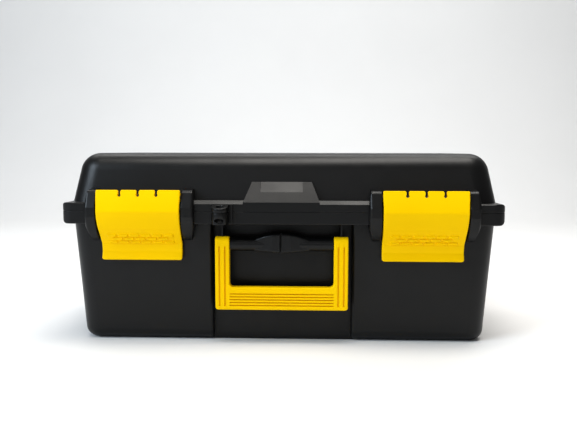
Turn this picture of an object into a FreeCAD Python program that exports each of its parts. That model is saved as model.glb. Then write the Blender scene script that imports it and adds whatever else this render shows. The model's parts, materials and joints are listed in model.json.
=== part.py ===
import FreeCAD, Part
import math
import os
import re

import Sketcher
from FreeCAD import Placement, Rotation, Vector

# Front-latched moulded toolbox with a lift-out tray, closed at rest.
#
# Frame: millimetres, +Z up, +X to the right of someone facing the latches, front towards -Y.
# The origin is the centre of the flat underside that the box stands on.

os.makedirs("parts", exist_ok=True)
doc = FreeCAD.newDocument("Toolbox")
sheet = doc.addObject("Spreadsheet::Sheet", "Sizes")

SIZES = [
    # Rim that runs round the box where lid and base meet.
    ("rim_side", 215.0), ("rim_front", 112.0), ("rim_back", 104.0), ("rim_corner", 11.0),
    ("parting", 132.0), ("base_rim_drop", 12.4), ("lid_rim_rise", 8.2), ("lid_slope_rise", 10.8),
    ("lid_strip_rise", 7.3), ("strip_run", 3.6), ("lid_ear_round", 5.5), ("base_ear_round", 7.0),
    ("wall", 2.6), ("floor_thick", 3.2),
    # Base walls, drafted so that they spread upwards.
    ("base_top_side", 211.3), ("base_foot_side", 203.0), ("base_top_depth", 98.0),
    ("base_foot_depth", 90.0), ("base_corner", 18.0), ("base_foot_round", 11.0),
    ("foot_groove_inset", 24.0), ("foot_groove_wide", 5.0), ("foot_groove_deep", 1.2),
    # Lid walls, drafted so that they close in upwards.
    ("lid_rise", 56.0), ("lid_low_side", 213.2), ("lid_top_side", 202.0), ("lid_low_front", 102.0),
    ("lid_top_front", 91.0), ("lid_low_back", 97.0), ("lid_top_back", 86.0),
    ("lid_corner", 24.0), ("lid_top_round", 20.5),
    # Thumb ramp in the middle of the lid's front.
    ("ramp_low_side", 36.9), ("ramp_top_side", 29.2), ("ramp_foot", 9.1), ("ramp_head", 28.3),
    ("ramp_run", 12.9), ("ramp_dish_side", 20.6), ("ramp_dish_deep", 2.4), ("ramp_dish_drop", 9.5),
    # Recess in the base's front that the carry handle folds into.
    ("recess_side", 69.1), ("recess_back", 84.0), ("recess_crease", 1.3), ("recess_round", 3.5),
    # Latches, their guards and their rods.
    ("latch_middle", 137.6), ("latch_half", 40.8), ("latch_thick", 2.5), ("latch_gap", 0.5),
    ("guard_in_width", 12.2), ("guard_out_width", 10.7), ("guard_reach", 6.5),
    ("guard_rise", 20.5), ("guard_drop", 29.0), ("guard_taper", 4.2), ("pocket_back", 101.5),
    ("rod_front", 112.3), ("rod_rise", 13.5), ("rod_round", 2.0), ("rod_fit", 0.05),
    ("rod_hold", 6.0), ("knuckle_round", 4.3),
    ("slot_pitch", 17.8), ("slot_width", 2.2), ("slot_deep", 6.4),
    # Carry handle, its barrel and its pins.
    ("handle_side", 65.1), ("handle_clear", 51.0), ("handle_face", 106.0), ("handle_thick", 9.0),
    ("handle_top", 24.9), ("handle_foot", 97.4), ("grip_top", 74.8), ("pivot_drop", 32.5),
    ("pivot_front", 100.5), ("pin_round", 2.0), ("pin_into_leg", 10.0), ("pin_into_barrel", 14.0),
    ("barrel_end_top", 26.3), ("barrel_top", 22.2), ("barrel_foot", 39.8), ("wing_start", 27.0),
    ("wing_middle", 9.0), ("wing_stand", 1.2),
    ("barrel_slot", 1.8), ("barrel_face", 105.0), ("groove_wide", 1.6), ("groove_deep", 1.6),
    # Rear hinges.
    ("hinge_back", 110.0), ("hinge_round", 5.0), ("hinge_pin_round", 2.0), ("hinge_pitch", 140.0),
    ("hinge_lid_half", 12.0), ("hinge_half", 24.0), ("hinge_gap", 0.4),
    # Lift-out tray, its dividers and its bail.
    ("tray_rim_height", 127.0), ("tray_tall", 44.0), ("tray_side", 197.0), ("tray_depth", 74.5),
    ("tray_taper", 4.0), ("tray_wall", 2.0), ("tray_lip", 5.5), ("tray_lip_thick", 2.0),
    ("tray_corner", 11.0), ("spine_height", 27.0), ("divider_thick", 2.0), ("divider_height", 26.0),
    ("divider_pitch", 98.5), ("bail_reach", 44.0), ("bail_thick", 5.0), ("bail_pivot_drop", 6.5),
    # Padlock eyes at the left of the middle.
    ("eye_middle", 58.5), ("eye_half", 8.0), ("eye_hole", 3.7),
    ("eye_hole_reach", 6.5), ("eye_rise", 7.0), ("eye_drop", 11.4),
    ("notch_half", 2.8), ("notch_deep", 2.6), ("notch_rise", 3.2),
]
for row, (alias, value) in enumerate(SIZES, 1):
    sheet.set(f"A{row}", alias)
    sheet.set(f"B{row}", str(value))
    sheet.setAlias(f"B{row}", alias)
doc.recompute()
ALIASES = {alias for alias, _ in SIZES}
VERTICAL = Vector(0, 0, 1)


def cells(text):
    """The expression with each sheet alias written in full."""
    return re.sub(r"[a-z]\w*", lambda m: f"Sizes.{m[0]}" if m[0] in ALIASES else m[0], str(text))


def value(text):
    """The number that an expression of aliases stands for."""
    return float(sheet.evalExpression(cells(text)))


def bind(obj, **expressions):
    for prop, text in expressions.items():
        obj.setExpression(prop.replace("_", "."), cells(text))


# ---- solids from primitives -------------------------------------------------------------------

def block(name, x, y, z):
    """A box between the low and high expressions of each axis."""
    obj = doc.addObject("Part::Box", name)
    for size, axis, (low, high) in zip(("Length", "Width", "Height"), "xyz", (x, y, z)):
        obj.setExpression(size, cells(f"({high}) - ({low})"))
        obj.setExpression(f"Placement.Base.{axis}", cells(low))
    return obj


def frustum(name, z, x_low, y_low, x_high, y_high):
    """A drafted box: rectangle x_low by y_low at z[0], x_high by y_high at z[1]."""
    obj = doc.addObject("Part::Wedge", name)
    obj.Placement = Placement(Vector(), Rotation(Vector(1, 0, 0), 90))
    bind(obj, Ymin=z[0], Ymax=z[1], Xmin=x_low[0], Xmax=x_low[1], X2min=x_high[0], X2max=x_high[1])
    bind(obj, Zmin=f"-({y_low[1]})", Zmax=f"-({y_low[0]})")
    bind(obj, Z2min=f"-({y_high[1]})", Z2max=f"-({y_high[0]})")
    return obj


def rod_along_x(name, radius, x, y, z):
    """A cylinder along X between the two expressions in x, centred on y and z."""
    obj = doc.addObject("Part::Cylinder", name)
    obj.Placement = Placement(Vector(), Rotation(Vector(0, 1, 0), 90))
    bind(obj, Radius=radius, Height=f"({x[1]}) - ({x[0]})")
    bind(obj, Placement_Base_x=x[0], Placement_Base_y=y, Placement_Base_z=z)
    return obj


def fuse(name, shapes):
    obj = doc.addObject("Part::MultiFuse", name)
    obj.Shapes = shapes
    return obj


def cut(name, base, tools):
    obj = doc.addObject("Part::Cut", name)
    obj.Base = base
    obj.Tool = tools[0] if len(tools) == 1 else fuse(name + "_tools", tools)
    return obj


def rounded(name, base, rules):
    """base with a fillet of each rule's size on the edges that pass the rule's test."""
    doc.recompute()
    obj = doc.addObject("Part::Fillet", name)
    obj.Base = base
    edges = []
    for number, edge in enumerate(base.Shape.Edges, 1):
        for test, size in rules:
            if test(edge):
                edges.append((number, value(size), value(size)))
                break
    obj.Edges = edges
    return obj


def middle(edge):
    return edge.valueAt((edge.FirstParameter + edge.LastParameter) / 2)


def upright(edge):
    """True for an edge that runs mostly up and down."""
    ends = [v.Point for v in edge.Vertexes]
    return len(ends) == 2 and abs((ends[1] - ends[0]).normalize().dot(VERTICAL)) > 0.8


def level_at(height):
    """A test for level edges at the height that the expression gives."""
    z = value(height)
    return lambda edge: all(abs(v.Z - z) < 0.01 for v in edge.Vertexes)


# ---- sketches ---------------------------------------------------------------------------------

def draw(sketch, points):
    """Adds a closed outline. Each point is (u, v) or (u, v, r): r makes the run to the next point
    an arc of that size, counter-clockwise where r is positive and clockwise where negative."""
    first_edge = sketch.GeometryCount
    spots = [Vector(value(p[0]), value(p[1]), 0) for p in points]
    starts, ends = [], []
    for i, point in enumerate(points):
        here, there = spots[i], spots[(i + 1) % len(spots)]
        number = first_edge + i
        if len(point) == 2:
            sketch.addGeometry(Part.LineSegment(here, there))
            starts.append((number, 1))
            ends.append((number, 2))
            continue
        radius = value(point[2])
        chord = there - here
        rise = math.sqrt(max(radius**2 - chord.Length**2 / 4, 0))
        centre = (here + there) / 2 + Vector(-chord.y, chord.x, 0).normalize() * math.copysign(rise, radius)
        first, last = (here, there) if radius > 0 else (there, here)
        angles = [math.atan2(p.y - centre.y, p.x - centre.x) for p in (first, last)]
        circle = Part.Circle(centre, Vector(0, 0, 1), abs(radius))
        sketch.addGeometry(Part.ArcOfCircle(circle, angles[0], angles[1]))
        starts.append((number, 1 if radius > 0 else 2))
        ends.append((number, 2 if radius > 0 else 1))
    for i, end in enumerate(ends):
        following = starts[(i + 1) % len(starts)]
        sketch.addConstraint(Sketcher.Constraint("Coincident", *end, *following))
    for start, spot, point in zip(starts, spots, points):
        for kind, place, text in (("DistanceX", spot.x, point[0]), ("DistanceY", spot.y, point[1])):
            constraint = sketch.addConstraint(Sketcher.Constraint(kind, *start, place))
            sketch.setExpression(f"Constraints[{constraint}]", cells(text))
        if len(point) == 3:
            size = abs(value(point[2]))
            constraint = sketch.addConstraint(Sketcher.Constraint("Radius", start[0], size))
            sketch.setExpression(f"Constraints[{constraint}]", cells(f"abs({point[2]})"))


def ring(sketch, u, v, radius):
    """Adds a circle."""
    centre = Vector(value(u), value(v), 0)
    number = sketch.addGeometry(Part.Circle(centre, Vector(0, 0, 1), value(radius)))
    for kind, place, text in (("DistanceX", centre.x, u), ("DistanceY", centre.y, v)):
        constraint = sketch.addConstraint(Sketcher.Constraint(kind, number, 3, place))
        sketch.setExpression(f"Constraints[{constraint}]", cells(text))
    constraint = sketch.addConstraint(Sketcher.Constraint("Radius", number, value(radius)))
    sketch.setExpression(f"Constraints[{constraint}]", cells(radius))


def swept(name, turn, points, axis, start, length):
    """A solid of constant section: turn stands the outline up and start places it on the axis."""
    sketch = doc.addObject("Sketcher::SketchObject", name + "_outline")
    sketch.Placement = Placement(Vector(), turn)
    draw(sketch, points)
    sketch.setExpression(f"Placement.Base.{axis}", cells(start))
    obj = doc.addObject("Part::Extrusion", name)
    obj.Base = sketch
    obj.DirMode = "Normal"
    obj.Solid = True
    bind(obj, LengthFwd=length)
    return obj


def side_profile(name, points, x):
    """Swept along X between the expressions in x: the points are (y, z)."""
    return swept(name, Rotation(Vector(1, 1, 1), 120), points, "x", x[0], f"({x[1]}) - ({x[0]})")


def front_profile(name, points, y):
    """Swept along Y: the points are (x, z)."""
    return swept(name, Rotation(Vector(1, 0, 0), 90), points, "y", y[1], f"({y[1]}) - ({y[0]})")


def plan_profile(name, points, z):
    """Swept along Z: the points are (x, y)."""
    return swept(name, Rotation(), points, "z", z[0], f"({z[1]}) - ({z[0]})")


def common(name, first, second):
    obj = doc.addObject("Part::Common", name)
    obj.Base = first
    obj.Tool = second
    return obj


def new_body(label):
    body = doc.addObject("PartDesign::Body", label)
    body.Label = label
    return body


def sketch_on(body, role, name, offset="0"):
    """An empty sketch on one of the body's own origin planes, moved along its normal."""
    sketch = body.newObject("Sketcher::SketchObject", name)
    plane = next(f for f in body.Origin.OriginFeatures if f.Role == role)
    sketch.AttachmentSupport = [(plane, "")]
    sketch.MapMode = "FlatFace"
    sketch.setExpression("AttachmentOffset.Base.z", cells(offset))
    return sketch


def pad(body, sketch, length, symmetric=False):
    feature = body.newObject("PartDesign::Pad", sketch.Name + "_pad")
    feature.Profile = sketch
    feature.SideType = "Symmetric" if symmetric else "One side"
    feature.setExpression("Length", cells(length))
    return feature


def pocket(body, sketch, length, symmetric=False, reverse=False):
    """Cuts the sketch out of the body and stops if that removed nothing."""
    doc.recompute()
    before = body.Shape.Volume
    feature = body.newObject("PartDesign::Pocket", sketch.Name + "_pocket")
    feature.Profile = sketch
    feature.SideType = "Symmetric" if symmetric else "One side"
    feature.Reversed = reverse
    feature.setExpression("Length", cells(length))
    doc.recompute()
    if body.Shape.Volume > before - 1:
        raise RuntimeError(f"{feature.Name} removes nothing")
    return feature


def soften(body, size, test):
    """Fillets the edges of the body's tip that pass the test."""
    doc.recompute()
    tip = body.Tip
    names = [f"Edge{n}" for n, edge in enumerate(tip.Shape.Edges, 1) if test(edge)]
    feature = body.newObject("PartDesign::Fillet", f"{body.Name}_soft_{tip.Name}")
    feature.Base = (tip, names)
    feature.setExpression("Radius", cells(size))
    return feature


def along(axis):
    """A test for straight edges that run along the axis, a Vector."""
    def test(edge):
        ends = [v.Point for v in edge.Vertexes]
        straight = edge.Curve.TypeId == "Part::GeomLine" and len(ends) == 2
        return straight and abs((ends[1] - ends[0]).normalize().dot(axis)) > 0.99
    return test


ALONG_X, ALONG_Y = along(Vector(1, 0, 0)), along(Vector(0, 1, 0))
parts = {}


def keep(label, obj):
    """Names a finished sub-part, which is written to its own file."""
    obj.Label = label
    parts[label] = obj
    return obj


# ---- shared places ----------------------------------------------------------------------------

def mirrored(side, low, high):
    """The pair of x expressions low..high, or its mirror image on the left."""
    return (low, high) if side > 0 else (f"-({high})", f"-({low})")


SIDES = {"left": -1, "right": 1}
LATCH_BAY = ("latch_middle - latch_half - latch_gap", "latch_middle + latch_half + latch_gap")
GUARDS = {
    "inner": (f"{LATCH_BAY[0]} - guard_in_width", LATCH_BAY[0]),
    "outer": (LATCH_BAY[1], f"{LATCH_BAY[1]} + guard_out_width"),
}


def guard_edge(side):
    """A test for the edges of a guard's end face that stand clear of the rim and the parting."""
    x, front, parting = value(side), value("-rim_front + 16"), value("parting")
    return lambda edge: (all(abs(v.X - x) < 0.01 for v in edge.Vertexes) and middle(edge).y < front
                         and abs(middle(edge).z - parting) > 0.01)


def guards(name, outline, taper):
    """The four guards that stand beside the latches, rounded on the side away from the latch.

    outline is the side view. taper is the front view: (share, height) pairs down the far side,
    where the guard is narrower by that share of guard_taper."""
    made = []
    for side_name, side in SIDES.items():
        for place, (low, high) in GUARDS.items():
            x = mirrored(side, low, high)
            latch_x = side * value("latch_middle")
            near, far = sorted(x, key=lambda text: abs(value(text) - latch_x))
            inward = "-" if value(far) > value(near) else "+"
            label = f"{name}_{side_name}_{place}"
            view = [(f"{far} {inward} {share} * guard_taper", z) for share, z in taper]
            view += [(near, taper[-1][1]), (near, taper[0][1])]
            body = rounded(label + "_soft", side_profile(label + "_side", outline, x), [
                (guard_edge(far), "3"), (guard_edge(near), "1"),
            ])
            made.append(common(label, body, front_profile(
                label + "_view", view, ("-rim_front - guard_reach - 1", "-rim_front + 24"))))
    return made


def hinge_knuckles(name, spans, z):
    """Knuckles round the rear hinge axis, each with an arm to the rim between the z expressions."""
    made = []
    for group in (-1, 0, 1):
        centre = f"{group} * hinge_pitch"
        for number, (low, high) in enumerate(spans):
            x = (f"{centre} + ({low})", f"{centre} + ({high})")
            label = f"{name}_{group + 1}_{number}"
            made.append(rod_along_x(label + "_eye", "hinge_round", x, "hinge_back", "parting"))
            made.append(block(label + "_arm", x, ("rim_back - wall", "hinge_back"), z))
    return made


def hinge_bores(name):
    """The bores for the three hinge pins."""
    return [
        rod_along_x(f"{name}_{group + 1}", "hinge_pin_round + rod_fit",
                    (f"{group} * hinge_pitch - hinge_half - 1", f"{group} * hinge_pitch + hinge_half + 1"),
                    "hinge_back", "parting")
        for group in (-1, 0, 1)
    ]


def bay_cuts(name, z):
    """The two bays in the rim's front that the latches lie in."""
    return [
        block(f"{name}_{side_name}", mirrored(side, *LATCH_BAY), ("-rim_front - 12", "-pocket_back"), z)
        for side_name, side in SIDES.items()
    ]


# ---- base shell -------------------------------------------------------------------------------

def inset(side, depth, by):
    """The x and y pairs of a rectangle centred on the origin, inset by an expression."""
    return (f"-({side} - {by})", f"{side} - {by}"), (f"-({depth} - {by})", f"{depth} - {by}")


RIM_PLAN = ("-rim_side", "rim_side"), ("-rim_front", "rim_back")


def eye_rib(name, z):
    """A low rib on the rim, to the right of the padlock eye."""
    start = "-eye_middle + eye_half + 2"
    return block(name, (start, f"{start} + 1.8"), ("-rim_front - 2.6", "-rim_front + 1"), z)


def base_shell():
    foot = inset("base_foot_side", "base_foot_depth", "0")
    top = inset("base_top_side", "base_top_depth", "0")
    walls = rounded("base_walls", frustum("base_block", ("0", "parting"), *foot, *top), [
        (upright, "base_corner"), (level_at("0"), "base_foot_round"),
    ])
    recess = plan_profile("recess", [
        ("-recess_side", "-rim_front - 12"), ("recess_side", "-rim_front - 12"),
        ("recess_side", "-recess_back"), ("0", "-recess_back - recess_crease"),
        ("-recess_side", "-recess_back"),
    ], ("-1", "parting + 1"))
    edge_x = value("recess_side")

    def recess_edge(edge):
        """True along the recess's outer corners, down the wall and round the foot."""
        aside = all(abs(abs(v.X) - edge_x) < 0.01 for v in edge.Vertexes)
        return aside and middle(edge).z > 0.5 and middle(edge).y < value("-recess_back - 1")

    front = rounded("base_front", cut("base_recessed", walls, [recess]), [(recess_edge, "recess_round")])
    rim_z = ("parting - base_rim_drop", "parting")
    rim_plan = rounded("base_rim_plan", block("base_rim_block", *RIM_PLAN, rim_z), [
        (upright, "rim_corner"), (level_at("parting"), "0.7"), (level_at(rim_z[0]), "1.2"),
    ])
    ear = "base_ear_round"
    rim = common("base_rim", rim_plan, front_profile("base_ears", [
        ("-rim_side", rim_z[1]), ("-rim_side", f"{rim_z[0]} + {ear}", ear),
        (f"-rim_side + {ear}", rim_z[0]), (f"rim_side - {ear}", rim_z[0], ear),
        ("rim_side", f"{rim_z[0]} + {ear}"), ("rim_side", rim_z[1]),
    ], ("-rim_front - 1", "rim_back + 1")))
    guard = [
        ("-rim_front + 18", "parting"), ("-rim_front - guard_reach", "parting"),
        ("-rim_front - guard_reach", "parting - 5", "34"), ("-rim_front + 9", "parting - guard_drop"),
        ("-rim_front + 18", "parting - guard_drop"),
    ]
    knuckles = hinge_knuckles("base_knuckle", [
        ("-hinge_half", "-hinge_lid_half - hinge_gap"), ("hinge_lid_half + hinge_gap", "hinge_half"),
    ], ("parting - hinge_round", "parting"))
    taper = [("0", "parting"), ("0", "parting - 13"), ("1", "parting - guard_drop")]
    solid = fuse("base_solid", [front, rim, *guards("base_guard", guard, taper), *knuckles])

    floor_part = "floor_thick / parting"
    low_side = f"(base_foot_side + (base_top_side - base_foot_side) * {floor_part})"
    low_depth = f"(base_foot_depth + (base_top_depth - base_foot_depth) * {floor_part})"
    inside = rounded("base_inside", frustum(
        "base_inside_block", ("floor_thick", "parting"),
        *inset(low_side, low_depth, "wall"), *inset("base_top_side", "base_top_depth", "wall"),
    ), [(upright, "base_corner - wall"), (level_at("floor_thick"), "base_foot_round - wall")])
    kept_front = block("recess_wall", ("-recess_side - wall", "recess_side + wall"),
                       ("-rim_front - 12", "-recess_back + wall"), ("0", "parting + 1"))
    cavity = cut("base_cavity", inside, [kept_front])
    under_rim = ("parting - base_rim_drop - 1", "parting - wall")
    groove_z = ("-1", "foot_groove_deep")
    groove = cut("foot_groove", block(
        "foot_groove_outer", *inset("base_foot_side", "base_foot_depth", "foot_groove_inset"), groove_z,
    ), [block("foot_groove_inner", *inset(
        "base_foot_side", "base_foot_depth", "(foot_groove_inset + foot_groove_wide)",
    ), groove_z)])
    hollow_back = ("-rim_front + wall", "-recess_back - recess_crease")
    hollow_front = ("-rim_front + wall", "-base_top_depth - 0.4")
    shell = cut("base_cut", solid, [
        cavity, groove, *bay_cuts("base_bay", ("parting - base_rim_drop - 1", "parting + 1")),
        *hinge_bores("base_bore"),
        block("rim_hollow", ("-recess_side - 12", "recess_side + 12"), hollow_front, under_rim),
        block("recess_hollow", ("-recess_side", "recess_side"), hollow_back, under_rim),
    ])
    ledges = []
    for side_name, side in SIDES.items():
        low = mirrored(side, "base_top_side - wall - 2", "base_top_side - 1.4")
        high = mirrored(side, "tray_side + 1.3", "base_top_side - 1")
        height = ("tray_rim_height - tray_lip_thick - 14", "tray_rim_height - tray_lip_thick - 0.1")
        ledges.append(frustum(f"ledge_{side_name}", height, low, ("-46", "46"), high, ("-50", "50")))
    ribs = [
        block(f"stop_rib_{side_name}", mirrored(side, "57.4", "59"), ("-103", "-recess_back"),
              ("parting - handle_top + 0.7", "parting - wall"))
        for side_name, side in SIDES.items()
    ]
    ribs.append(eye_rib("base_eye_rib", ("parting - eye_drop", "parting")))
    return keep("base_shell", fuse("base_shell", [shell, *ledges, *ribs]))


# ---- lid shell --------------------------------------------------------------------------------

def lid_rect(level):
    """The x and y pairs of the lid's outer walls at a height above the parting, in expressions."""
    part = f"({level}) / lid_rise"
    side = f"(lid_low_side - (lid_low_side - lid_top_side) * {part})"
    front = f"(lid_low_front - (lid_low_front - lid_top_front) * {part})"
    back = f"(lid_low_back - (lid_low_back - lid_top_back) * {part})"
    return side, front, back


def lid_frustum(name, low, high, by):
    """A block that follows the lid's walls between two heights, inset by an expression."""
    pairs = []
    for level in (low, high):
        side, front, back = lid_rect(level)
        pairs += [(f"-({side} - {by})", f"{side} - {by}"), (f"-({front} - {by})", f"{back} - {by}")]
    return frustum(name, (f"parting + {low}", f"parting + {high}"), *pairs)


def lid_shell():
    walls = rounded("lid_walls", lid_frustum("lid_block", "0", "lid_rise", "0"), [
        (upright, "lid_corner"), (level_at("parting + lid_rise"), "lid_top_round"),
    ])
    rim_top = "parting + lid_rim_rise"
    rim_plan = rounded("lid_rim_plan", block("lid_rim_block", *RIM_PLAN, ("parting", rim_top)), [
        (upright, "rim_corner"), (level_at("parting"), "0.7"),
    ])
    ear = "lid_ear_round"
    rim = common("lid_rim", rim_plan, front_profile("lid_ears", [
        ("-rim_side", "parting"), ("rim_side", "parting"), ("rim_side", f"{rim_top} - {ear}", ear),
        (f"rim_side - {ear}", rim_top), (f"-rim_side + {ear}", rim_top, ear),
        ("-rim_side", f"{rim_top} - {ear}"),
    ], ("-rim_front - 1", "rim_back + 1")))
    strip_top = "parting + lid_strip_rise"
    strip_back, slope_top = "-lid_low_front + 2", "parting + lid_slope_rise"
    over_strip = side_profile("over_strip", [
        ("-rim_front - 1", strip_top), ("-rim_front", strip_top), ("-rim_front + strip_run", slope_top),
        ("-rim_front + strip_run", f"{slope_top} + 5"), ("-rim_front - 1", f"{slope_top} + 5"),
    ], ("-rim_side + rim_corner", "rim_side - rim_corner"))
    strip = block("strip", (f"-({GUARDS['outer'][0]})", GUARDS["outer"][0]),
                  ("-rim_front + 0.5", strip_back), ("parting + 1", slope_top))
    ramp_front = block("ramp_front", ("-ramp_low_side", "ramp_low_side"),
                       ("-rim_front", "-lid_low_front + 1"), ("parting", "parting + ramp_foot"))
    ramp_back = "-lid_top_front - 1"
    ramp = frustum("ramp", ("parting + ramp_foot", "parting + ramp_head"),
                   ("-ramp_low_side", "ramp_low_side"), ("-rim_front", ramp_back),
                   ("-ramp_top_side", "ramp_top_side"), ("-rim_front + ramp_run", ramp_back))
    guard = [
        ("-rim_front + 22", "parting"), ("-rim_front + 22", "parting + guard_rise + 2"),
        ("-rim_front + 3", "parting + guard_rise", "5"), ("-rim_front - 1.4", "parting + guard_rise - 3.4"),
        ("-rim_front - guard_reach", "parting + 4"), ("-rim_front - guard_reach", "parting"),
    ]
    knuckles = hinge_knuckles("lid_knuckle", [("-hinge_lid_half", "hinge_lid_half")],
                              ("parting", "parting + hinge_round"))
    rims = cut("lid_rims", fuse("lid_rims_square", [rim, strip]), [over_strip])
    taper = [("0", "parting"), ("0", "parting + 9"), ("0.6", "parting + guard_rise + 3")]
    solid = fuse("lid_solid", [
        walls, rims, ramp_front, ramp, *guards("lid_guard", guard, taper), *knuckles,
        eye_rib("lid_eye_rib", ("parting", "parting + eye_rise")),
    ])

    ceiling = "(lid_rise - wall)"
    inside = rounded("lid_inside", lid_frustum("lid_inside_block", "0", ceiling, "wall"), [
        (upright, "lid_corner - wall"), (level_at(f"parting + {ceiling}"), "lid_top_round - wall"),
    ])
    dish_foot_y = "-rim_front + ramp_run * (1 - ramp_dish_drop / (ramp_head - ramp_foot))"
    dish_foot, dish_head = "parting + ramp_head - ramp_dish_drop", "parting + ramp_head"
    dish_front, dish_back = f"{dish_foot_y} - 6", "-rim_front + ramp_run + ramp_dish_deep"
    dish = side_profile("ramp_dish", [
        (dish_front, dish_foot), (f"{dish_foot_y} + 0.2", dish_foot),
        (dish_back, dish_head), (dish_back, f"{dish_head} + 2"), (dish_front, f"{dish_head} + 2"),
    ], ("-ramp_dish_side", "ramp_dish_side"))
    rods = [
        rod_along_x(f"rod_bore_{side_name}", "rod_round + rod_fit",
                    mirrored(side, "latch_middle - latch_half - rod_hold - 0.5",
                             "latch_middle + latch_half + rod_hold + 0.5"),
                    "-rod_front", "parting + rod_rise")
        for side_name, side in SIDES.items()
    ]
    return keep("lid_shell", cut("lid_shell", solid, [
        inside, dish, *rods, *bay_cuts("lid_bay", ("parting - 1", "parting + guard_rise + 8")),
        *hinge_bores("lid_bore"),
    ]))


# ---- latches and rods -------------------------------------------------------------------------

def rim_points(points):
    """Outline points given as (forward of the rim's face, above the parting), with any arc size."""
    return [(f"-rim_front - ({y})", f"parting + ({z})", *arc) for y, z, *arc in points]


def latch(side_name, side):
    """A bowed plate that hangs from its rod and leans back below the rim, with a flared pull lip."""
    body = new_body(f"latch_{side_name}")
    plate = sketch_on(body, "YZ_Plane", body.Name + "_plate")
    draw(plate, rim_points([
        ("3.9", "21.1", "140"), ("8", "0", "45"), ("1.6", "-17.5"), ("-9.6", "-32.6"),
        ("-10.8", "-40.6"), ("-7.9", "-48.2"), ("-7.9 - latch_thick * 1.07", "-48.2"),
        ("-10.8 - latch_thick * 1.03", "-40.6 - latch_thick * 0.11"),
        ("-9.6 - latch_thick * 0.95", "-32.6 + latch_thick * 0.4"),
        ("1.6 - latch_thick * 0.83", "-17.5 + latch_thick * 0.56", "-(45 - latch_thick)"),
        ("8 - latch_thick", "0", "-(140 - latch_thick)"), ("3.9 - latch_thick", "21.1"),
    ]))
    width = "2 * latch_half"
    pad(body, plate, width, symmetric=True)
    corners = {value("parting + 21.1"), value("parting - 48.2")}
    soften(body, "1.5", lambda edge: ALONG_Y(edge) and any(abs(middle(edge).z - z) < 0.1 for z in corners))
    knuckle = sketch_on(body, "YZ_Plane", body.Name + "_knuckle")
    ring(knuckle, "-rod_front", "parting + rod_rise", "knuckle_round")
    pad(body, knuckle, width, symmetric=True)
    bead = sketch_on(body, "YZ_Plane", body.Name + "_bead")
    draw(bead, [
        ("-rim_front - 1.2", "parting - 14.6"), ("-rim_front - 1.2", "parting - 17.4"),
        ("-pocket_back - 0.5", "parting - 17.4"), ("-pocket_back - 0.3", "parting - 14.6"),
    ])
    pad(body, bead, f"{width} - 6", symmetric=True)
    bore = sketch_on(body, "YZ_Plane", body.Name + "_bore")
    ring(bore, "-rod_front", "parting + rod_rise", "rod_round + rod_fit")
    pocket(body, bore, f"{width} + 2", symmetric=True)
    slots = sketch_on(body, "XZ_Plane", body.Name + "_slots", "rim_front")
    slot_top, slot_foot = "parting + 23", "parting + 21.1 - slot_deep + slot_width / 2"
    for step in (-1, 0, 1):
        left, right = (f"{step} * slot_pitch + {sign} slot_width / 2" for sign in "-+")
        draw(slots, [(right, slot_top), (left, slot_top), (left, slot_foot, "slot_width / 2 + 0.001"),
                     (right, slot_foot)])
    pocket(body, slots, "30", symmetric=True)
    bind(body, Placement_Base_x=f"{side} * latch_middle")
    keep(body.Name, body)


def round_bar(label, plane, u, v, radius, length, **places):
    """A plain pin: a circle on an origin plane, padded evenly both ways, then moved into place."""
    body = new_body(label)
    section = sketch_on(body, plane, label + "_section")
    ring(section, u, v, radius)
    pad(body, section, length, symmetric=True)
    soften(body, "0.4", lambda edge: edge.Curve.TypeId == "Part::GeomCircle")
    bind(body, **places)
    keep(label, body)


# ---- carry handle -----------------------------------------------------------------------------

def carry_handle():
    body = new_body("carry_handle")
    front = sketch_on(body, "XZ_Plane", "handle_front", "handle_face - handle_thick")
    top, foot, grip = "parting - handle_top", "parting - handle_foot", "parting - grip_top"
    draw(front, [
        ("-handle_side", top), ("-handle_side", foot), ("handle_side", foot), ("handle_side", top),
        ("handle_clear", top), ("handle_clear", grip), ("-handle_clear", grip), ("-handle_clear", top),
    ])
    pad(body, front, "handle_thick")

    def corner(x, z):
        return lambda edge: (ALONG_Y(edge) and abs(abs(middle(edge).x) - value(x)) < 0.01
                             and abs(middle(edge).z - value(z)) < 0.01)

    soften(body, "handle_thick / 2 - 0.05",
           lambda edge: ALONG_X(edge) and abs(middle(edge).z - value(top)) < 0.01)
    soften(body, "3", corner("handle_side", foot))
    soften(body, "4", corner("handle_clear", grip))
    face_y = value("-handle_face")
    back_y = value("-handle_face + handle_thick")
    soften(body, "1.2", lambda edge: all(abs(v.Y - face_y) < 0.01 or abs(v.Y - back_y) < 0.01
                                         for v in edge.Vertexes) and abs(middle(edge).y - value(
                                             "-handle_face + handle_thick / 2")) > 4)
    grooves = sketch_on(body, "XZ_Plane", "handle_grooves", "handle_face - groove_deep")
    for side in SIDES.values():
        for place in ("handle_clear + 4.4", "handle_clear + 9.9"):
            x = mirrored(side, f"{place} - groove_wide / 2", f"{place} + groove_wide / 2")
            draw(grooves, [(x[0], "parting - 93.5"), (x[1], "parting - 93.5"),
                           (x[1], "parting - 34.5"), (x[0], "parting - 34.5")])
    for number in range(5):
        low = f"parting - handle_foot + 4 + {number} * 2.85"
        draw(grooves, [("-handle_clear", low), ("handle_clear", low),
                       ("handle_clear", f"{low} + 1.1"), ("-handle_clear", f"{low} + 1.1")])
    pocket(body, grooves, "5", reverse=True)
    bores = sketch_on(body, "YZ_Plane", "handle_bores")
    ring(bores, "-pivot_front", "parting - pivot_drop", "pin_round + rod_fit")
    pocket(body, bores, "2 * (handle_clear + pin_into_leg)", symmetric=True)
    keep("carry_handle", body)


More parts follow.
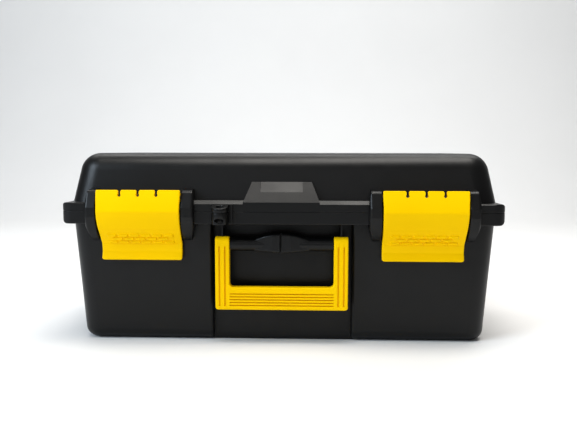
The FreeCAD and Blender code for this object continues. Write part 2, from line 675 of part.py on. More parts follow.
def handle_barrel():
    """The fixed barrel between the handle's legs, with a pair of wings that rise to its slot."""
    reach = "handle_clear - 0.5"
    radius = "(barrel_foot - barrel_end_top) / 2"
    back = "-recess_back - recess_crease"
    barrel = side_profile("barrel_round", [
        (back, "parting - barrel_end_top"),
        (f"-barrel_face + {radius}", "parting - barrel_end_top", f"{radius} + 0.001"),
        (f"-barrel_face + {radius}", "parting - barrel_foot"), (back, "parting - barrel_foot"),
    ], (f"-({reach})", reach))
    wing_front, wing_end = "-barrel_face - wing_stand", "-barrel_face + 1.8"
    wing_foot, wing_top = "parting - barrel_foot", "parting - barrel_end_top - 1.6"
    wing = common("wings", front_profile("wings_front", [
        ("-wing_start", f"{wing_foot} + 0.4"), ("0", f"{wing_foot} - 1.3"),
        ("wing_start", f"{wing_foot} + 0.4"), ("wing_start", wing_top, "58"),
        ("0", "parting - barrel_top", "58"), ("-wing_start", wing_top),
    ], (wing_front, back)), plan_profile("wings_plan", [
        ("-wing_start", wing_end), ("-wing_middle", wing_front), ("wing_middle", wing_front),
        ("wing_start", wing_end), ("wing_start", back), ("-wing_start", back),
    ], ("parting - barrel_foot - 5", "parting - barrel_top + 5")))
    ahead = value(wing_end) + 0.01
    wings = rounded("wings_soft", wing, [
        (lambda edge: all(v.Y < ahead for v in edge.Vertexes) and not upright(edge), "2.2"),
    ])
    slot = block("barrel_gap", ("-barrel_slot / 2 - 0.9", "barrel_slot / 2 - 0.9"),
                 ("-rim_front", "-barrel_face + 9"),
                 ("parting - barrel_foot - 5", "parting - barrel_top + 5"))
    bores = [
        rod_along_x(f"barrel_bore_{side_name}", "pin_round",
                    mirrored(side, "handle_clear - pin_into_barrel", "handle_clear + 1"),
                    "-pivot_front", "parting - pivot_drop")
        for side_name, side in SIDES.items()
    ]
    solid = fuse("barrel_solid", [barrel, wings])
    keep("handle_barrel", cut("handle_barrel", solid, [slot, *bores]))


# ---- padlock eyes -----------------------------------------------------------------------------

def padlock_eye(label, low, high, chamfer_level):
    """A lug on the rim with an upright hole, which lines up with the other shell's lug."""
    body = new_body(label)
    plan = sketch_on(body, "XY_Plane", label + "_plan", low)
    left, right = "-eye_middle - eye_half", "-eye_middle + eye_half"
    hole_y = "-rim_front - eye_hole_reach"
    draw(plan, [(left, "-rim_front"), (left, hole_y, "eye_half + 0.001"), (right, hole_y),
                (right, "-rim_front")])
    pad(body, plan, f"({high}) - ({low})")
    level = value(chamfer_level)
    soften(body, "1.4", lambda edge: all(abs(v.Z - level) < 0.01 for v in edge.Vertexes)
           and middle(edge).y < value("-rim_front - 0.1"))
    hole = sketch_on(body, "XY_Plane", label + "_hole", low)
    ring(hole, "-eye_middle", hole_y, "eye_hole")
    pocket(body, hole, f"({high}) - ({low}) + 2", reverse=True)
    return keep(label, body)


def eye_notch(body, low):
    """The arched hollow low in the front of the base's lug."""
    face = sketch_on(body, "XZ_Plane", "eye_arch", "rim_front + eye_hole_reach + eye_half - notch_deep")
    left, right = "-eye_middle - notch_half", "-eye_middle + notch_half"
    spring = f"{low} + notch_rise"
    draw(face, [(left, f"{low} - 1"), (right, f"{low} - 1"), (right, spring, "notch_half + 0.001"),
                (left, spring)])
    pocket(body, face, "6", reverse=True)


# ---- tray -------------------------------------------------------------------------------------

def tray():
    top, low = "tray_rim_height", "tray_rim_height - tray_tall"
    outer_high = inset("tray_side", "tray_depth", "0")
    outer_low = inset("tray_side", "tray_depth", "tray_taper")
    outer = rounded("tray_outer", frustum("tray_outer_block", (low, top), *outer_low, *outer_high), [
        (upright, "tray_corner"), (level_at(low), "4"),
    ])
    lip = rounded("tray_lip_round", block(
        "tray_lip_block", *inset("tray_side", "tray_depth", "-tray_lip"), (f"{top} - tray_lip_thick", top),
    ), [(upright, "tray_corner")])
    floor_z = f"{low} + tray_wall"
    inner = rounded("tray_inner", frustum(
        "tray_inner_block", (floor_z, f"{top} + 0.01"),
        *inset("tray_side", "tray_depth", "(tray_taper + tray_wall)"),
        *inset("tray_side", "tray_depth", "tray_wall"),
    ), [(upright, "tray_corner - tray_wall"), (level_at(floor_z), "2.5")])
    pivot_z = "tray_rim_height - bail_pivot_drop"
    bores = doc.addObject("Part::Cylinder", "bail_bores")
    bores.Placement = Placement(Vector(), Rotation(Vector(1, 0, 0), 90))
    bind(bores, Radius="2 + rod_fit", Height="2 * tray_depth + 4", Placement_Base_y="tray_depth + 2",
         Placement_Base_z=pivot_z)
    shell = cut("tray_shell", fuse("tray_solid", [outer, lip]), [inner, bores])
    spine_z = (f"{low} + 1", f"{floor_z} + spine_height")
    spine = block("tray_spine", ("-tray_side + 3", "tray_side - 3"),
                  ("-tray_wall / 2", "tray_wall / 2"), spine_z)
    guides = []
    guide_z = (f"{low} + 1", f"{floor_z} + divider_height - 4")
    for side in SIDES.values():
        for edge in (-1, 1):
            start = f"{side} * divider_pitch / 1.5 + {edge} * (divider_thick / 2 + 0.85)"
            x = (f"{start} - 0.6", f"{start} + 0.6")
            tag = f"{side + 1}_{edge + 1}"
            guides.append(block(f"guide_middle_{tag}", x, ("-3.4", "3.4"), guide_z))
            guides.append(block(f"guide_front_{tag}", x, ("-tray_depth + 2.6", "-tray_depth + 7"),
                                guide_z))
            guides.append(block(f"guide_back_{tag}", x, ("tray_depth - 7", "tray_depth - 2.6"), guide_z))
    keep("tray", fuse("tray", [shell, spine, *guides]))


def tray_divider(label, side, row):
    """A loose plate in the guides between the tray's long wall and its spine."""
    body = new_body(label)
    face = sketch_on(body, "YZ_Plane", label + "_face")
    low = "tray_rim_height - tray_tall + tray_wall + 0.2"
    high = f"{low} + divider_height"
    near, far_low, far_high = (f"{row} * ({y})" for y in ("1.3", "tray_depth - 8", "tray_depth - 4.6"))
    draw(face, [(near, low), (far_low, low), (far_high, high), (near, high)])
    pad(body, face, "divider_thick", symmetric=True)
    bind(body, Placement_Base_x=f"{side} * divider_pitch / 1.5")
    keep(label, body)


def tray_bail():
    """The tray's folding carry bail, lying flat at rest along +X."""
    body = new_body("tray_bail")
    plan = sketch_on(body, "XY_Plane", "bail_plan", "tray_rim_height - bail_pivot_drop - bail_thick / 2")
    out = "tray_depth - tray_wall - 1.1"
    inner = f"{out} - 6"
    draw(plan, [
        ("-4", f"-({out})"), ("bail_reach", f"-({out})"), ("bail_reach", out), ("-4", out), ("-4", inner),
        ("bail_reach - 9", inner), ("bail_reach - 9", f"-({inner})"), ("-4", f"-({inner})"),
    ])
    pad(body, plan, "bail_thick")
    soften(body, "1.2", lambda edge: ALONG_X(edge) or (ALONG_Y(edge) and abs(middle(edge).x) > 5))
    pins = sketch_on(body, "XZ_Plane", "bail_pins")
    ring(pins, "0", "tray_rim_height - bail_pivot_drop", "2")
    pad(body, pins, "2 * (tray_depth - tray_wall + 0.9)", symmetric=True)
    gap = sketch_on(body, "XZ_Plane", "bail_gap")
    ring(gap, "0", "tray_rim_height - bail_pivot_drop", "2.01")
    pocket(body, gap, f"2 * ({inner})", symmetric=True)
    keep("tray_bail", body)


# ---- the whole box ----------------------------------------------------------------------------

base_shell()
lid_shell()
carry_handle()
handle_barrel()
for side_name, side in SIDES.items():
    latch(side_name, side)
    round_bar(f"latch_rod_{side_name}", "YZ_Plane", "-rod_front", "parting + rod_rise", "rod_round",
              "2 * (latch_half + rod_hold)", Placement_Base_x=f"{side} * latch_middle")
    round_bar(f"handle_pin_{side_name}", "YZ_Plane", "-pivot_front", "parting - pivot_drop",
              "pin_round", "pin_into_leg + pin_into_barrel - 1",
              Placement_Base_x=f"{side} * (handle_clear + (pin_into_leg - pin_into_barrel) / 2)")
for number, place in enumerate(("left", "middle", "right")):
    round_bar(f"hinge_pin_{place}", "YZ_Plane", "hinge_back", "parting", "hinge_pin_round",
              "2 * hinge_half", Placement_Base_x=f"{number - 1} * hinge_pitch")
padlock_eye("padlock_eye_lid", "parting + 0.2", "parting + eye_rise", "parting + eye_rise")
eye_notch(padlock_eye("padlock_eye_base", "parting - eye_drop", "parting - 0.2", "parting - eye_drop"),
          "parting - eye_drop")
tray()
for side_name, side in SIDES.items():
    tray_divider(f"tray_divider_front_{side_name}", side, -1)
    tray_divider(f"tray_divider_back_{side_name}", side, 1)
tray_bail()

doc.recompute()
for obj in doc.Objects:
    if {"Invalid", "Error"} & set(obj.State):
        raise RuntimeError(f"{obj.Label} did not build: {obj.State}")
for label, obj in parts.items():
    if obj.Shape.isNull() or not obj.Shape.isValid():
        raise RuntimeError(f"{label} has no valid shape")
    if len(obj.Shape.Solids) != 1:
        raise RuntimeError(f"{label} is {len(obj.Shape.Solids)} solids, not one")
for label, obj in parts.items():
    obj.Shape.exportStep(f"parts/{label}.step")
    size = obj.Shape.BoundBox
    print(f"{label}: {size.XLength:.1f} x {size.YLength:.1f} x {size.ZLength:.1f} mm")
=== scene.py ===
"""Looks for the moulded toolbox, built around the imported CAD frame. Metres, +Z up, front at -Y."""
import json
import math

import bmesh
import bpy
from mathutils import Matrix, Vector


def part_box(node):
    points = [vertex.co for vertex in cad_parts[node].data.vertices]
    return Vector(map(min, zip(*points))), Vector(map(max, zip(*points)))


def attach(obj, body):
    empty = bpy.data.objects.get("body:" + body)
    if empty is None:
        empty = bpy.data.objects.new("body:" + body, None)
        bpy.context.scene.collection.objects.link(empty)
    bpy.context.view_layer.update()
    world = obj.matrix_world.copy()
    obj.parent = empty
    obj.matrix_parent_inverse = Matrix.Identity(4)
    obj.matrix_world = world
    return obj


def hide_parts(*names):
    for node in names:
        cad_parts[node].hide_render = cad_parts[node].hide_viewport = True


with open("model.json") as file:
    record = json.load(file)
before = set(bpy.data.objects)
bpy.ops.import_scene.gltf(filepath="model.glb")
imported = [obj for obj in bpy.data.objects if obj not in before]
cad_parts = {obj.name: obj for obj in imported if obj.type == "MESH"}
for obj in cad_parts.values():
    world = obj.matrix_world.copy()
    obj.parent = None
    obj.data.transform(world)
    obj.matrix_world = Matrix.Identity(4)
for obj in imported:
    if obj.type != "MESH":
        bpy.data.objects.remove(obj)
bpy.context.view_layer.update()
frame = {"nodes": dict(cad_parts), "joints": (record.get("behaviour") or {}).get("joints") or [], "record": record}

MM = 0.001
JOINTS = {joint["name"]: joint for joint in frame["joints"]}
PARTING = JOINTS["lid_hinge"]["pos_m"][2]
ROD_Y, ROD_Z = JOINTS["latch_left_hinge"]["pos_m"][1:]
ROD_AHEAD = 0.3 * MM
# The front of the two rims, which lies just behind the axis of the latch rods.
RIM_Y = ROD_Y + ROD_AHEAD


# ---- small mesh tools -------------------------------------------------------------------------

def object_from(name, mesh_data):
    """A linked object from a bmesh, with its faces turned outwards."""
    bmesh.ops.recalc_face_normals(mesh_data, faces=mesh_data.faces)
    if mesh_data.calc_volume(signed=True) < 0:
        bmesh.ops.reverse_faces(mesh_data, faces=mesh_data.faces)
    mesh = bpy.data.meshes.new(name)
    mesh_data.to_mesh(mesh)
    mesh_data.free()
    obj = bpy.data.objects.new(name, mesh)
    bpy.context.scene.collection.objects.link(obj)
    return obj


def smooth(obj, angle):
    """Smooth shading, kept crisp across edges sharper than the angle in degrees."""
    for polygon in obj.data.polygons:
        polygon.use_smooth = True
    mesh_data = bmesh.new()
    mesh_data.from_mesh(obj.data)
    limit = math.radians(angle)
    for edge in mesh_data.edges:
        edge.smooth = len(edge.link_faces) == 2 and edge.calc_face_angle(0) < limit
    mesh_data.to_mesh(obj.data)
    mesh_data.free()
    return obj


def apply_modifiers(obj):
    """Bakes the object's modifiers into its mesh."""
    graph = bpy.context.evaluated_depsgraph_get()
    mesh = bpy.data.meshes.new_from_object(obj.evaluated_get(graph))
    obj.modifiers.clear()
    obj.data = mesh
    return obj


def combine(obj, other, operation):
    """Boolean of two closed meshes. The second one is used up."""
    modifier = obj.modifiers.new("combine", "BOOLEAN")
    modifier.operation = operation
    modifier.solver = "EXACT"
    modifier.object = other
    apply_modifiers(obj)
    bpy.data.objects.remove(other)
    return obj


def prism(name, outline, along, low, high):
    """A closed outline pushed from low to high along x, y or z; its points are the other two axes."""
    place = {
        "x": lambda a, b, c: (c, a, b),
        "y": lambda a, b, c: (a, c, b),
        "z": lambda a, b, c: (a, b, c),
    }[along]
    mesh_data = bmesh.new()
    rings = [[mesh_data.verts.new(place(a, b, c)) for a, b in outline] for c in (low, high)]
    mesh_data.faces.new(rings[0])
    mesh_data.faces.new(rings[1])
    for i in range(len(outline)):
        j = (i + 1) % len(outline)
        mesh_data.faces.new((rings[0][i], rings[0][j], rings[1][j], rings[1][i]))
    return object_from(name, mesh_data)


def circle_points(centre, radius, count, start=0, stop=360):
    """Points on an arc, in degrees. A full circle leaves out the repeated last point."""
    steps = count if stop - start == 360 else count + 1
    angles = [math.radians(start + (stop - start) * i / count) for i in range(steps)]
    return [(centre[0] + radius * math.cos(a), centre[1] + radius * math.sin(a)) for a in angles]


def arc_between(start, end, radius, count):
    """Points from start towards end on an arc, counter-clockwise where radius is positive."""
    a, b = Vector(start), Vector(end)
    chord = b - a
    rise = math.sqrt(max(radius**2 - chord.length**2 / 4, 0))
    centre = (a + b) / 2 + Vector((-chord.y, chord.x)).normalized() * math.copysign(rise, radius)
    first = math.atan2(*(a - centre).yx)
    turn = (math.atan2(*(b - centre).yx) - first) * math.copysign(1, radius) % (2 * math.pi)
    turn *= math.copysign(1, radius)
    size = abs(radius)
    angles = [first + turn * i / count for i in range(count)]
    return [Vector((centre.x + size * math.cos(t), centre.y + size * math.sin(t))) for t in angles]


# ---- materials --------------------------------------------------------------------------------

def new_material(name):
    """An empty node material with a Principled shader: (material, node tree, shader)."""
    material = bpy.data.materials.new(name)
    material.use_nodes = True
    tree = material.node_tree
    return material, tree, tree.nodes["Principled BSDF"]


def add_noise(tree, scale, detail=4.0, rough=0.5):
    """Noise over the object's own space, in cycles per metre."""
    where = tree.nodes.new("ShaderNodeTexCoord")
    noise = tree.nodes.new("ShaderNodeTexNoise")
    noise.inputs["Scale"].default_value = scale
    noise.inputs["Detail"].default_value = detail
    noise.inputs["Roughness"].default_value = rough
    tree.links.new(where.outputs["Object"], noise.inputs["Vector"])
    return noise.outputs["Fac"]


def add_ramp(tree, source, stops):
    """A colour ramp over a source; stops are (place, colour)."""
    ramp = tree.nodes.new("ShaderNodeValToRGB")
    elements = ramp.color_ramp.elements
    while len(elements) < len(stops):
        elements.new(0.5)
    for element, (place, colour) in zip(elements, stops):
        element.position = place
        element.color = (*colour, 1)
    tree.links.new(source, ramp.inputs["Fac"])
    return ramp.outputs["Color"]


def grey(level):
    """A neutral colour."""
    return (level, level, level)


# Noise scales of the mouldings, in cycles per metre.
DRIFT_SCALE, GLOSS_SCALE, WAVE_SCALE = 9.0, 40.0, 14.0


def moulded(name, dark, light, rough, shine, grain, grain_height, waviness=0.0):
    """Injection-moulded plastic: slow colour drift, uneven gloss and a fine spark-eroded grain.

    grain is in cycles per metre; grain_height and waviness are in metres.
    """
    material, tree, shader = new_material(name)
    drift = add_noise(tree, DRIFT_SCALE, 3.0)
    tree.links.new(add_ramp(tree, drift, [(0.3, dark), (0.7, light)]), shader.inputs["Base Color"])
    gloss = add_noise(tree, GLOSS_SCALE, 5.0, 0.6)
    gloss_stops = [(0.3, grey(rough - 0.04)), (0.7, grey(rough + 0.05))]
    tree.links.new(add_ramp(tree, gloss, gloss_stops), shader.inputs["Roughness"])
    bump = tree.nodes.new("ShaderNodeBump")
    bump.inputs["Strength"].default_value = 0.35
    bump.inputs["Distance"].default_value = grain_height
    tree.links.new(add_noise(tree, grain, 2.0), bump.inputs["Height"])
    tree.links.new(bump.outputs["Normal"], shader.inputs["Normal"])
    if waviness:
        wave = tree.nodes.new("ShaderNodeBump")
        wave.inputs["Strength"].default_value = 0.5
        wave.inputs["Distance"].default_value = waviness
        tree.links.new(add_noise(tree, WAVE_SCALE, 1.0), wave.inputs["Height"])
        tree.links.new(wave.outputs["Normal"], bump.inputs["Normal"])
    shader.inputs["Specular IOR Level"].default_value = shine
    return material


def brushed_rod(name, dark, light):
    """Drawn wire with faint marks."""
    material, tree, shader = new_material(name)
    marks = add_noise(tree, 900.0, 3.0)
    shades = [(0.3, dark), (0.7, light)]
    gloss = [(0.3, grey(0.28)), (0.7, grey(0.45))]
    tree.links.new(add_ramp(tree, marks, shades), shader.inputs["Base Color"])
    tree.links.new(add_ramp(tree, marks, gloss), shader.inputs["Roughness"])
    shader.inputs["Metallic"].default_value = 1.0
    return material


BLACK = moulded(
    "black_polypropylene", dark=(0.0058, 0.0058, 0.0060), light=(0.0076, 0.0076, 0.0078),
    rough=0.36, shine=0.34, grain=1600, grain_height=0.00008, waviness=0.0008,
)
TRIM = moulded(
    "black_trim", dark=(0.0055, 0.0055, 0.0057), light=(0.0072, 0.0072, 0.0074),
    rough=0.33, shine=0.34, grain=1300, grain_height=0.00006,
)
YELLOW = moulded(
    "yellow_polypropylene", dark=(0.93, 0.58, 0.0), light=(0.96, 0.62, 0.0),
    rough=0.32, shine=0.07, grain=900, grain_height=0.00003,
)
TRAY_GREY = moulded(
    "grey_polypropylene", dark=(0.10, 0.105, 0.11), light=(0.13, 0.135, 0.14),
    rough=0.42, shine=0.5, grain=1200, grain_height=0.00006,
)
ZINC = brushed_rod("zinc_rod", (0.42, 0.42, 0.44), (0.62, 0.62, 0.64))
BLACK_OXIDE = brushed_rod("black_oxide_rod", (0.02, 0.02, 0.022), (0.04, 0.04, 0.043))
SLOT_MATERIALS = {
    "black_shell": BLACK, "black_trim": TRIM, "yellow_plastic": YELLOW,
    "grey_tray": TRAY_GREY, "steel": ZINC, "dark_steel": BLACK_OXIDE,
}


def paint(obj, material):
    """Gives the whole object one material."""
    obj.data.materials.clear()
    obj.data.materials.append(material)


for entry in frame["record"]["subparts"]:
    paint(frame["nodes"][entry["node"]], SLOT_MATERIALS[entry["material_slot"]])


# ---- latches ----------------------------------------------------------------------------------

# In this section a latch is drawn in mm, forward of the rims and above the parting.
PLATE_THICK = 2.5
# The plate's outer face from the top edge down: how far forward, how far up, and the radius of
# the arc to the next point, or None for a straight run.
PLATE_STATIONS = [
    (3.9, 21.1, 140), (8, 0, 45), (1.6, -17.5, None), (-9.6, -32.6, None), (-10.8, -40.6, None),
    (-7.9, -48.2, None),
]
BRICK_TOP, BRICK_ROWS, BRICK_PITCH, ROW_PITCH = -21.8, (6, 5, 6), 11.4, 3.5
BRICK_LONG, BRICK_TALL, BRICK_HIGH, BRICK_EDGE = 8.9, 2.4, 1.3, 0.5
# The mesh's spacing, and the heights between which it is fine: the lip's edge, the bricks, the top.
FINE, COARSE = 0.42, 1.3
FINE_BANDS = [(-60, -45.5), (-42, -19), (19.5, 30)]
# Corner radii of the plate seen from the front, and the rounding of its outer and inner edges.
TOP_CORNER, LIP_CORNER = 0.9, 2.4
OUTER_ROUND, INNER_ROUND, END_ROUND_SHARE = 1.2, 0.7, 0.7
# The plate narrows by this share twice on its way down: (height, over which length).
NARROWING = 0.012
NARROW_STEPS = [(10, 16), (-20, 30)]
SLOT_PITCH, SLOT_DEPTH, SLOT_GAP, END_GAP = 17.8, 5.0, 2.1, 0.3
SLOT_NECK, SLOT_BULB, SLOT_FLARE = 1.25, 1.7, 2.0
KNUCKLE_RADIUS, BORE_RADIUS = 4.3, 2.05
BEAD_FRONT, BEAD_TOP, BEAD_FOOT, BEAD_INSET = 1.2, -14.6, -17.4, 3.0
WEB_COUNT, WEB_PITCH, WEB_HALF = 5, 17, 0.8
WEB_OUTLINE = [(4.6, 8), (2.6, 8), (-7.5, -15.5), (-7.5, -17), (0.5, -17), (6.8, -2)]


def plate_line():
    """The plate's outer face as (point, outward normal) pairs, closer together over the bricks."""
    points = []
    for (y, z, radius), (y2, z2, _) in zip(PLATE_STATIONS, PLATE_STATIONS[1:]):
        start, end = Vector((-y, z)), Vector((-y2, z2))
        length = (end - start).length
        count = max(2, round(length / FINE))
        if radius is None:
            run = [start.lerp(end, i / count) for i in range(count)]
        else:
            run = arc_between(start, end, radius, count)
        points += run
    points.append(Vector((-PLATE_STATIONS[-1][0], PLATE_STATIONS[-1][1])))
    kept = [points[0]]
    for point in points[1:-1]:
        fine = any(low < point.y < high for low, high in FINE_BANDS)
        if (point - kept[-1]).length > (FINE * 0.9 if fine else COARSE):
            kept.append(point)
    kept.append(points[-1])
    line = []
    for i, point in enumerate(kept):
        before, after = kept[max(i - 1, 0)], kept[min(i + 1, len(kept) - 1)]
        heading = (after - before).normalized()
        line.append((point, Vector((heading.y, -heading.x))))
    return line


def step(distance, width):
    """0 outside, 1 inside, with a soft edge of the width; distance is positive inside."""
    t = min(max(distance / width + 0.5, 0), 1)
    return t * t * (3 - 2 * t)


def brick_height(x, z):
    """How far the face stands above the plain plate at x and z, in mm: rows of raised bricks."""
    for row, count in enumerate(BRICK_ROWS):
        from_row = abs(z - BRICK_TOP + ROW_PITCH * (row + 0.5))
        if from_row < ROW_PITCH / 2:
            shift = (count - 1) / 2 * BRICK_PITCH
            number = min(max(round((x + shift) / BRICK_PITCH), 0), count - 1)
            from_brick = abs(x + shift - number * BRICK_PITCH)
            inside = min(BRICK_LONG / 2 - from_brick, BRICK_TALL / 2 - from_row)
            return BRICK_HIGH * step(inside, BRICK_EDGE)
    return 0


def edge_drop(distance, radius):
    """How far a rounded edge falls away at a distance from it."""
    if distance >= radius:
        return 0
    return radius - math.sqrt(radius**2 - (radius - distance) ** 2)


def latch_plate(name, centre_x, half):
    """The bowed plate as one closed mesh, with rounded edges and the brick panel."""
    line = plate_line()
    half_width = half / MM
    flat_half = half_width - OUTER_ROUND
    edges = [0, 0.12, 0.35, INNER_ROUND, OUTER_ROUND]
    columns = [e - half_width for e in edges] + [half_width - e for e in edges]
    count = round(flat_half * 2 / FINE)
    columns += [flat_half * (2 * i / count - 1) for i in range(1, count)]
    columns.sort()
    reach = [0.0]
    for (a, _), (b, _) in zip(line, line[1:]):
        reach.append(reach[-1] + (b - a).length)
    mesh_data = bmesh.new()
    faces = []
    for inner in (False, True):
        rows = []
        for (point, normal), along in zip(line, reach):
            corner = edge_drop(along, TOP_CORNER) + edge_drop(reach[-1] - along, LIP_CORNER)
            waist = 1 - sum(NARROWING * step(z - point.y, length) for z, length in NARROW_STEPS)
            narrowed = waist * (1 - corner / half_width)
            end = min(along, reach[-1] - along)
            radius = INNER_ROUND if inner else OUTER_ROUND
            end_drop = edge_drop(end, radius * END_ROUND_SHARE)
            row = []
            for x in columns:
                drop = min(edge_drop(half_width - abs(x), radius) + end_drop, radius)
                push = drop - PLATE_THICK if inner else brick_height(x, point.y) - drop
                spot = point + normal * push
                row.append(mesh_data.verts.new((
                    centre_x + x * MM * narrowed, RIM_Y + spot.x * MM, PARTING + spot.y * MM,
                )))
            rows.append(row)
        faces.append(rows)
    outer, inner = faces
    for rows in faces:
        for upper, lower in zip(rows, rows[1:]):
            for i in range(len(columns) - 1):
                mesh_data.faces.new((upper[i], upper[i + 1], lower[i + 1], lower[i]))
    for i in range(len(columns) - 1):
        for k in (0, -1):
            mesh_data.faces.new((outer[k][i], outer[k][i + 1], inner[k][i + 1], inner[k][i]))
    for j in range(len(line) - 1):
        for k in (0, -1):
            mesh_data.faces.new((outer[j][k], outer[j + 1][k], inner[j + 1][k], inner[j][k]))
    return object_from(name, mesh_data)


def keyhole(centre_x):
    """A cutter for one slot in the plate's top edge: flared mouth, neck and round end."""
    plate_top = PLATE_STATIONS[0][1]
    above, end, reach = plate_top + 1.4, plate_top - SLOT_DEPTH, 12 * MM
    mouth_x, mouth_z = -SLOT_NECK - SLOT_FLARE, plate_top - SLOT_FLARE
    left = [(-x, z) for x, z in circle_points((0, end), SLOT_BULB, 15, -90, 45)]
    left.append((-SLOT_NECK, end + 2.0))
    left += circle_points((mouth_x, mouth_z), SLOT_FLARE, 8, 0, 90)
    left.append((mouth_x, above))
    outline = left + [(-x, z) for x, z in reversed(left[1:])]
    points = [(centre_x + x * MM, PARTING + z * MM) for x, z in outline]
    return prism("keyhole", points, "y", ROD_Y - reach, ROD_Y + reach)


def make_latch(side):
    """A latch: slotted plate, knuckles round the rod, inner bead and webs."""
    node = f"latch_{side}"
    low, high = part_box(node)
    centre_x, half = (low.x + high.x) / 2, (high.x - low.x) / 2
    latch = latch_plate(f"{node}_moulding", centre_x, half)
    slot_places = [centre_x + number * SLOT_PITCH * MM for number in (-1, 0, 1)]
    ends = [low.x + END_GAP * MM]
    for x in slot_places:
        combine(latch, keyhole(x), "DIFFERENCE")
        ends += [x - SLOT_GAP * MM, x + SLOT_GAP * MM]
    ends.append(high.x - END_GAP * MM)
    rod = (ROD_Y, ROD_Z)
    for start, end in zip(ends[::2], ends[1::2]):
        knuckle = prism("knuckle", circle_points(rod, KNUCKLE_RADIUS * MM, 48), "x", start, end)
        combine(latch, knuckle, "UNION")
    bead_top, bead_foot = PARTING + BEAD_TOP * MM, PARTING + BEAD_FOOT * MM
    bead_front, bead_back = RIM_Y - BEAD_FRONT * MM, high.y
    bead = prism("bead", [
        (bead_front, bead_foot), (bead_front, bead_top), (bead_back, bead_top),
        (bead_back - 0.3 * MM, bead_top - 1.9 * MM), (bead_back - 1.6 * MM, bead_foot),
    ], "x", low.x + BEAD_INSET * MM, high.x - BEAD_INSET * MM)
    combine(latch, bead, "UNION")
    web_points = [(RIM_Y - y * MM, PARTING + z * MM) for y, z in WEB_OUTLINE]
    for number in range(WEB_COUNT):
        x = centre_x + (number - (WEB_COUNT - 1) / 2) * WEB_PITCH * MM
        web = prism("web", web_points, "x", x - WEB_HALF * MM, x + WEB_HALF * MM)
        combine(latch, web, "UNION")
    bore = prism("bore", circle_points(rod, BORE_RADIUS * MM, 32), "x", low.x - MM, high.x + MM)
    combine(latch, bore, "DIFFERENCE")
    smooth(latch, 40)
    paint(latch, YELLOW)
    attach(latch, node)
    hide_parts(node)


make_latch("left")
make_latch("right")


# ---- padlock eye ------------------------------------------------------------------------------

EYE = next(mount for mount in frame["record"]["mounts"] if mount["name"] == "padlock_eye")
EYE_X, EYE_Y = EYE["pos_m"][:2]
EYE_BORE = EYE["dims"]["r_mm"] * MM
TOP_FALL, TOP_FLAT = 3.4 * MM, 0.6 * MM
# The hollow's half width, half height, and its centre's height above the lug's foot.
HOLLOW_HALF, HOLLOW_TALL, HOLLOW_RISE = 4.4 * MM, 2.1 * MM, 3.9 * MM
LUG_BEVEL = 0.35 * MM


def eye_lug(node, body):
    """A lug with a round front and the shackle's bore.

    The lid's lug has a top that falls to the front, the base's an oval hollow into the bore.
    """
    low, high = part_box(node)
    half, reach = (high.x - low.x) / 2, EYE_Y - low.y
    plan = [(EYE_X + half * x, EYE_Y + reach * y) for x, y in circle_points((0, 0), 1, 36, 180, 360)]
    plan += [(EYE_X + half, high.y), (EYE_X - half, high.y)]
    lug = prism(f"{node}_moulding", plan, "z", low.z, high.z)
    if body == "lid":
        fall = [
            (low.y - MM, high.z - TOP_FALL), (high.y - TOP_FLAT, high.z),
            (high.y - TOP_FLAT, high.z + MM), (low.y - MM, high.z + MM),
        ]
        combine(lug, prism("top_fall", fall, "x", low.x - MM, high.x + MM), "DIFFERENCE")
    else:
        hollow = [
            (EYE_X + HOLLOW_HALF * x, low.z + HOLLOW_RISE + HOLLOW_TALL * z)
            for x, z in circle_points((0, 0), 1, 36)
        ]
        combine(lug, prism("hollow", hollow, "y", low.y - MM, EYE_Y), "DIFFERENCE")
    bore = prism("bore", circle_points((EYE_X, EYE_Y), EYE_BORE, 40), "z", low.z - MM, high.z + MM)
    combine(lug, bore, "DIFFERENCE")
    softened = lug.modifiers.new("softened", "BEVEL")
    softened.width = LUG_BEVEL
    softened.segments = 2
    softened.limit_method = "ANGLE"
    softened.angle_limit = math.radians(35)
    apply_modifiers(lug)
    smooth(lug, 40)
    paint(lug, TRIM)
    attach(lug, body)
    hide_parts(node)


eye_lug("padlock_eye_lid", "lid")
eye_lug("padlock_eye_base", "base")


# ---- stage, lights and camera -----------------------------------------------------------------

def area_light(name, place, aim, size, power, colour):
    """A rectangular lamp of size (width, height), turned towards the aim."""
    data = bpy.data.lights.new(name, "AREA")
    data.shape = "RECTANGLE"
    data.size, data.size_y = size
    data.energy = power
    data.color = colour
    light = bpy.data.objects.new(name, data)
    light.location = place
    light.rotation_euler = (Vector(aim) - Vector(place)).to_track_quat("-Z", "Y").to_euler()
    bpy.context.scene.collection.objects.link(light)


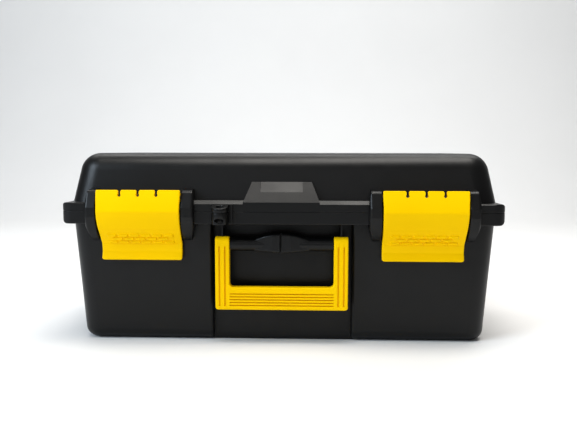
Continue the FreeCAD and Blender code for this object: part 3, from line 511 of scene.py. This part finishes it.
def make_stage():
    """A pale floor that curves up into a pale wall well behind the box."""
    depth_front, depth_back, half_width, rise, bend = -6.0, 1.6, 7.0, 2.6, 0.6
    # The paper lies a hair below the box's foot, so the two faces don't share a plane.
    sink = 0.0002
    profile = [(depth_front, 0.0), (depth_back - bend, 0.0)]
    profile += circle_points((depth_back - bend, bend), bend, 16, -90, 0)[1:]
    profile.append((depth_back, rise))
    mesh_data = bmesh.new()
    sides = (-half_width, half_width)
    rows = [[mesh_data.verts.new((x, y, z - sink)) for x in sides] for y, z in profile]
    for a, b in zip(rows, rows[1:]):
        mesh_data.faces.new((a[0], a[1], b[1], b[0]))
    floor = smooth(object_from("studio_floor", mesh_data), 60)
    material, tree, shader = new_material("studio_paper")
    shades = [(0.3, grey(0.76)), (0.7, grey(0.78))]
    tree.links.new(add_ramp(tree, add_noise(tree, 3.0), shades), shader.inputs["Base Color"])
    shader.inputs["Roughness"].default_value = 0.9
    shader.inputs["Specular IOR Level"].default_value = 0.2
    paint(floor, material)


def make_camera():
    """The photographer's place: in front, a little to the right, level with the top of the lid."""
    yaw, pitch, roll = (math.radians(a) for a in (-1.94, -5.56, -0.12))
    level = math.cos(pitch)
    forward = Vector((math.sin(yaw) * level, math.cos(yaw) * level, math.sin(pitch)))
    right = Vector((math.cos(yaw), -math.sin(yaw), 0))
    up = right.cross(forward)
    turn = Matrix.Rotation(roll, 3, forward)
    axes = Matrix((turn @ right, turn @ up, -forward)).transposed()
    data = bpy.data.cameras.new("camera")
    data.sensor_width = 36
    data.lens = 42.36
    camera = bpy.data.objects.new("camera", data)
    place = Vector((0.0289, RIM_Y - 0.6477, PARTING + 0.0589))
    camera.matrix_world = Matrix.Translation(place) @ axes.to_4x4()
    bpy.context.scene.collection.objects.link(camera)
    bpy.context.scene.camera = camera


make_stage()
make_camera()
# Name, place, aim, (width, height), power and colour.
LIGHTS = [
    ("overhead", (0.15, -0.25, 1.5), (0.05, -0.08, 0.1), (1.3, 0.7), 19.0, (1.0, 0.97, 0.92)),
    ("behind", (0, 0.8, 1.4), (0, 0.5, 0), (2.2, 0.6), 12.0, (1.0, 0.99, 0.97)),
    ("window_left", (-1.3, -1.0, 1.0), (0, 0, 0.12), (0.8, 0.8), 19.0, (0.76, 0.88, 1.0)),
    ("front_card", (0, -2.0, 0.95), (0, 0, 0.15), (1.6, 0.4), 2.5, (1.0, 0.98, 0.96)),
]
for settings in LIGHTS:
    area_light(*settings)
world = bpy.data.worlds.new("studio")
world.use_nodes = True
world.node_tree.nodes["Background"].inputs["Color"].default_value = (1, 1, 1, 1)
world.node_tree.nodes["Background"].inputs["Strength"].default_value = 0.15
bpy.context.scene.world = world
bpy.context.scene.view_settings.view_transform = "Standard"
bpy.context.scene.view_settings.look = "Medium High Contrast"

bpy.context.view_layer.update()
